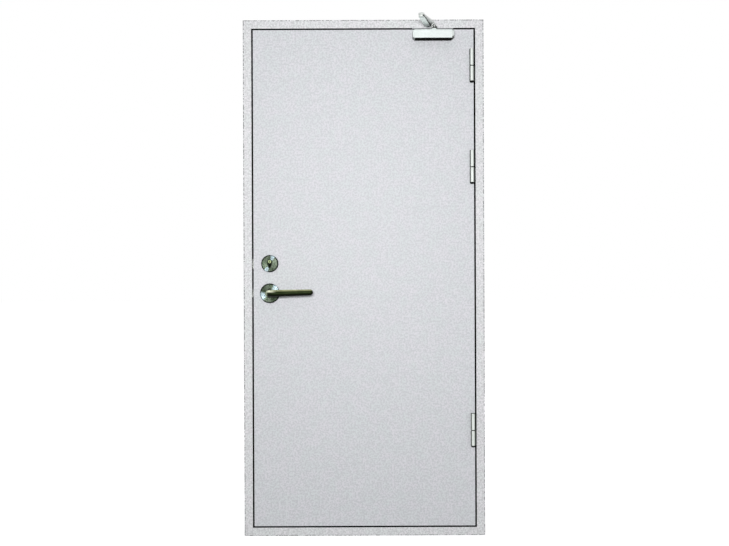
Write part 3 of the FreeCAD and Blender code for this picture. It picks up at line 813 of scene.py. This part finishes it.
def head_tree(name, segments, crosshead):
    """Geometry Nodes that set a head on each point, facing the point's own way and turned at random."""
    group = bpy.data.node_groups.new(name, "GeometryNodeTree")
    group.is_modifier = True
    sockets = group.interface
    sockets.new_socket("Geometry", in_out="INPUT", socket_type="NodeSocketGeometry")
    for size in HEAD_SIZES:
        sockets.new_socket(size, in_out="INPUT", socket_type="NodeSocketFloat")
    sockets.new_socket("Seed", in_out="INPUT", socket_type="NodeSocketInt")
    sockets.new_socket("Finish", in_out="INPUT", socket_type="NodeSocketMaterial")
    sockets.new_socket("Geometry", in_out="OUTPUT", socket_type="NodeSocketGeometry")

    nodes = NodeTree(group)
    points = nodes.add("NodeGroupInput", {}, {}, "Geometry")
    seed = nodes.add("NodeGroupInput", {}, {}, "Seed")
    finish = nodes.add("NodeGroupInput", {}, {}, "Finish")
    head = head_shape(nodes, segments, crosshead)
    facing = nodes.add("GeometryNodeInputNamedAttribute", {"data_type": "FLOAT_VECTOR"}, {"Name": "facing"})
    upright = nodes.add("FunctionNodeAlignRotationToVector", {"axis": "Z"}, {"Vector": facing})
    quarter_turn = {random_low: 0.0, random_high: math.pi / 2, "Seed": seed}
    angle = nodes.add("FunctionNodeRandomValue", {"data_type": "FLOAT"}, quarter_turn, random_number)
    spin = nodes.add("FunctionNodeAxisAngleToRotation", {}, {"Axis": UPWARDS, "Angle": angle})
    both = {"Rotation": upright, "Rotate By": spin}
    turned = nodes.add("FunctionNodeRotateRotation", {"rotation_space": "LOCAL"}, both)
    on_points = {"Points": points, "Instance": head, "Rotation": turned}
    heads = nodes.add("GeometryNodeInstanceOnPoints", {}, on_points)
    heads = nodes.add("GeometryNodeRealizeInstances", {}, {"Geometry": heads})
    heads = nodes.add("GeometryNodeSetMaterial", {}, {"Geometry": heads, "Material": finish})
    nodes.add("NodeGroupOutput", {}, {"Geometry": heads})
    return group


screw_tree = head_tree("screw_heads", screw_segments, True)
end_cap_tree = head_tree("end_caps", turned_segments, False)


def add_heads(tree, name, places, head_size, finish_name, body, seed):
    """Heads at (place, facing) pairs, as one mesh."""
    seats = bpy.data.meshes.new(name + "_seats")
    points = [Vector(place) - Vector(facing) * seat_depth for place, facing in places]
    seats.from_pydata(points, [], [])
    facing_way = seats.attributes.new("facing", "FLOAT_VECTOR", "POINT")
    for entry, (_, facing) in zip(facing_way.data, places):
        entry.vector = facing
    maker = bpy.data.objects.new(name + "_maker", seats)
    bpy.context.scene.collection.objects.link(maker)
    modifier = maker.modifiers.new("heads", "NODES")
    modifier.node_group = tree
    sizes = dict(zip(HEAD_SIZES, (*head_size, head_crown, slot_width)))
    given = {**sizes, "Seed": seed, "Finish": finishes[finish_name]}
    for socket in tree.interface.items_tree:
        if socket.in_out == "INPUT" and socket.name in given:
            modifier[socket.identifier] = given[socket.name]
    made = maker.evaluated_get(bpy.context.evaluated_depsgraph_get())
    mesh = bpy.data.meshes.new_from_object(made)
    maker.modifiers.remove(modifier)
    bpy.data.objects.remove(maker)
    mesh.name = name
    add_piece(name, mesh, finish_name, body)


def add_screws(name, places, head_size, body, seed):
    add_heads(screw_tree, name, places, head_size, "screw_steel", body, seed)


def hinge_screw_places(half, surface_inset, facing):
    """Three screws on the plate of that half of each hinge."""
    places = []
    for hinge in HINGES:
        low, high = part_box(f"{hinge}_{half}")
        for share in HINGE_SCREW_SHARES:
            height = low.z + (high.z - low.z) * share
            places.append(((high.x - surface_inset, high.y - hinge_screw_depth / 2, height), facing))
    return places


def strip_screw_places(node, x, facing):
    """One screw near each end of a lock strip."""
    low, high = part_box(node)
    depth = (low.y + high.y) / 2
    heights = (low.z + strip_screw_inset, high.z - strip_screw_inset)
    return [((x, depth, height), facing) for height in heights]


faceplate_low, faceplate_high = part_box("lock_faceplate")
lock_edge_lean = lock_edge_set_back / lock_edge_depth
faceplate_x = faceplate_low.x + lock_edge_lean * (faceplate_high.y - faceplate_low.y) / 2
leaf_screws = hinge_screw_places("door_half", 0, TOWARDS_HINGE)
leaf_screws += strip_screw_places("lock_faceplate", faceplate_x, TOWARDS_LOCK)
add_screws("leaf_screws", leaf_screws, FLUSH_HEAD, "leaf", seed=3)

strike_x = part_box("strike_plate")[1].x
frame_screws = hinge_screw_places("frame_half", hinge_plate, TOWARDS_LOCK)
frame_screws += strip_screw_places("strike_plate", strike_x, TOWARDS_HINGE)
add_screws("frame_screws", frame_screws, FLUSH_HEAD, "frame", seed=5)

# Real end caps under the hinges, made near-black as a painted shadow line under each hinge
end_caps = []
for hinge in HINGES:
    pin_place = middle(hinge + "_pin")
    under_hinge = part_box(hinge + "_frame_half")[0].z
    end_caps.append(((pin_place.x, pin_place.y, under_hinge), DOWNWARDS))
add_heads(end_cap_tree, "hinge_end_caps", end_caps, END_CAP, "cap_steel", "frame", seed=13)

shoe_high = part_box("closer_shoe")[1]
shoe_front = frame_low.y - shoe_plate_thickness
shoe_x = shoe_high.x - shoe_plate_width / 2
shoe_z = shoe_high.z - shoe_screw_drop
shoe_screws = []
for side in (-1, 1):
    shoe_screws.append(((shoe_x + side * shoe_screw_spread, shoe_front, shoe_z), TOWARDS_VIEWER))
add_screws("shoe_screws", shoe_screws, PAN_HEAD, "frame", seed=7)

cap_place = middle("closer_right_cap")
valve_screws = []
for side in (-1, 1):
    height = cap_place.z + side * valve_screw_spread / 2
    valve_screws.append(((closer_high.x, cap_place.y, height), TOWARDS_HINGE))
add_screws("closer_valve_screws", valve_screws, FLUSH_HEAD, "leaf", seed=11)


# Turned fittings of the closer

def turned_mesh(name, profile, place, segments):
    """A closed upright shape turned from a profile of (radius, height) points, from pole to pole."""
    shape = bmesh.new()
    rings = []
    for radius, height in profile:
        if radius == 0:
            rings.append([shape.verts.new((0, 0, height))])
            continue
        points = [(radius * math.cos(a), radius * math.sin(a), height) for a in circle_angles(segments)]
        rings.append([shape.verts.new(point) for point in points])
    for lower, upper in zip(rings, rings[1:]):
        for step in range(segments):
            following = (step + 1) % segments
            corners = [lower[step % len(lower)], lower[following % len(lower)],
                       upper[following % len(upper)], upper[step % len(upper)]]
            shape.faces.new(list(dict.fromkeys(corners)))
    bmesh.ops.recalc_face_normals(shape, faces=shape.faces)
    shape.transform(Matrix.Translation(place))
    return mesh_from(shape, name)


def dome_profile(radius, height):
    """A low rivet head: a short straight rim and a round crown."""
    rim = height * dome_rim_share
    profile = [(0, 0), (radius, 0)]
    for step in range(dome_steps):
        angle = math.pi / 2 * step / dome_steps
        profile.append((radius * math.cos(angle), rim + (height - rim) * math.sin(angle)))
    return profile + [(0, height)]


def nut_profile(radius, height):
    """A plain nut or washer with its upper corners turned off."""
    rim_corner = (radius, nut_rim_share * height)
    top_corner = (nut_top_share * radius, height)
    return [(0, 0), (radius, 0), rim_corner, top_corner, (0, height)]


nut_place = hub_place + Vector((0, 0, hub_washer_height))
washer_profile = nut_profile(hub_washer_radius, hub_washer_height)
hub_nut_profile = nut_profile(hub_nut_radius, hub_nut_height)
rivet_profile = dome_profile(elbow_head_radius, elbow_head_height)
for name, profile, place, segments in (
    ("hub_washer", washer_profile, hub_place, turned_segments),
    ("hub_nut", hub_nut_profile, nut_place, nut_sides),
    ("elbow_rivet", rivet_profile, elbow_place, turned_segments),
):
    mesh = turned_mesh(name, profile, place, segments)
    add_piece(name, mesh, "dark_nut_steel", "closer_arm")


# Plugs of the cylinder

def plug_mesh(name, face_y, outward):
    """Round front of the cylinder's plug, standing proud of its body, with the keyway through it."""
    place = (middle("front_cylinder_rose").x, face_y, cylinder_high.z - plug_seat_radius)
    half_x = keyway_width / 2
    half_z = keyway_height / 2
    rim = [(plug_radius * math.cos(a), 0, plug_radius * math.sin(a)) for a in circle_angles(turned_segments)]
    keyway = [(-half_x, 0, -half_z), (half_x, 0, -half_z), (half_x, 0, half_z), (-half_x, 0, half_z)]
    shape = bmesh.new()
    edges = []
    for outline in (rim, keyway):
        corners = [shape.verts.new(point) for point in outline]
        for first, second in zip(corners, corners[1:] + corners[:1]):
            edges.append(shape.edges.new((first, second)))
    bmesh.ops.triangle_fill(shape, use_beauty=True, edges=edges)
    raised = bmesh.ops.extrude_face_region(shape, geom=shape.faces[:])
    moved = [item for item in raised["geom"] if isinstance(item, bmesh.types.BMVert)]
    bmesh.ops.translate(shape, vec=(0, outward * plug_thickness, 0), verts=moved)
    bmesh.ops.translate(shape, vec=place, verts=shape.verts[:])
    bmesh.ops.recalc_face_normals(shape, faces=shape.faces[:])
    return mesh_from(shape, name)


for name, face_y, outward in (("front_plug", cylinder_low.y, -1), ("back_plug", cylinder_high.y, 1)):
    add_piece(name, plug_mesh(name, face_y, outward), "plug_nickel", "leaf")


# Studio

def white_to_lens(tree):
    """1 for rays that reach the lens directly or by a mirror or glass."""
    kinds = ("Is Camera Ray", "Is Glossy Ray", "Is Transmission Ray")
    direct, mirrored, through_glass = [tree.add("ShaderNodeLightPath", {}, {}, kind) for kind in kinds]
    return direct + mirrored + through_glass


def build_world():
    """White behind the part, and a dimmer even light on it."""
    world = bpy.data.worlds.new("studio")
    world.use_nodes = True
    bpy.context.scene.world = world
    tree = NodeTree(world.node_tree)
    light = tree.add("ShaderNodeBackground", {}, {"Color": WHITE, "Strength": ambient_light})
    backdrop = tree.add("ShaderNodeBackground", {}, {"Color": WHITE, "Strength": backdrop_light})
    mixed = tree.add("ShaderNodeMixShader", {}, {0: white_to_lens(tree), 1: light, 2: backdrop})
    tree.add("ShaderNodeOutputWorld", {}, {"Surface": mixed})


def build_floor():
    """A pale floor that looks white and keeps the part's shadow."""
    material = bpy.data.materials.new("studio_floor")
    material.use_nodes = True
    tree = NodeTree(material.node_tree)
    matte = tree.add("ShaderNodeBsdfDiffuse", {}, {"Color": FLOOR_COLOUR})
    glow = tree.add("ShaderNodeEmission", {}, {"Color": WHITE, "Strength": floor_glow})
    pale = tree.add("ShaderNodeAddShader", {}, {0: matte, 1: glow})
    mixed = tree.add("ShaderNodeMixShader", {}, {0: white_to_lens(tree), 1: matte, 2: pale})
    tree.add("ShaderNodeOutputMaterial", {}, {"Surface": mixed})
    mesh = bpy.data.meshes.new("floor")
    corners = [(x * floor_half_size, y * floor_half_size, 0) for x, y in ((-1, -1), (1, -1), (1, 1), (-1, 1))]
    mesh.from_pydata(corners, [], [(0, 1, 2, 3)])
    mesh.materials.append(material)
    floor = bpy.data.objects.new("floor", mesh)
    bpy.context.scene.collection.objects.link(floor)


def add_softbox(name, place, aim, size, spread, power):
    """A soft lamp aimed at a point, which the lens doesn't see."""
    lamp = bpy.data.lights.new(name, "AREA")
    lamp.shape = "RECTANGLE"
    lamp.size, lamp.size_y = size
    lamp.spread = math.radians(spread)
    lamp.energy = power
    softbox = bpy.data.objects.new(name, lamp)
    bpy.context.scene.collection.objects.link(softbox)
    softbox.location = place
    softbox.rotation_euler = (Vector(aim) - Vector(place)).to_track_quat("-Z", "Y").to_euler()
    softbox.visible_camera = False


def add_camera():
    """A camera square to the frame's front, at the photo's distance."""
    camera_data = bpy.data.cameras.new("camera")
    camera_data.sensor_width = sensor_width
    camera_data.lens = sensor_width * photo_distance / (image_width * photo_scale)
    camera = bpy.data.objects.new("camera", camera_data)
    bpy.context.scene.collection.objects.link(camera)
    camera.location = (camera_side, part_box("frame_head")[0].y - photo_distance, camera_height)
    camera.rotation_euler = (math.pi / 2, math.radians(camera_roll), 0)
    bpy.context.scene.camera = camera


build_world()
build_floor()
for name, settings in SOFTBOXES.items():
    add_softbox(name, **settings)
add_camera()
bpy.context.scene.view_settings.view_transform = "Standard"
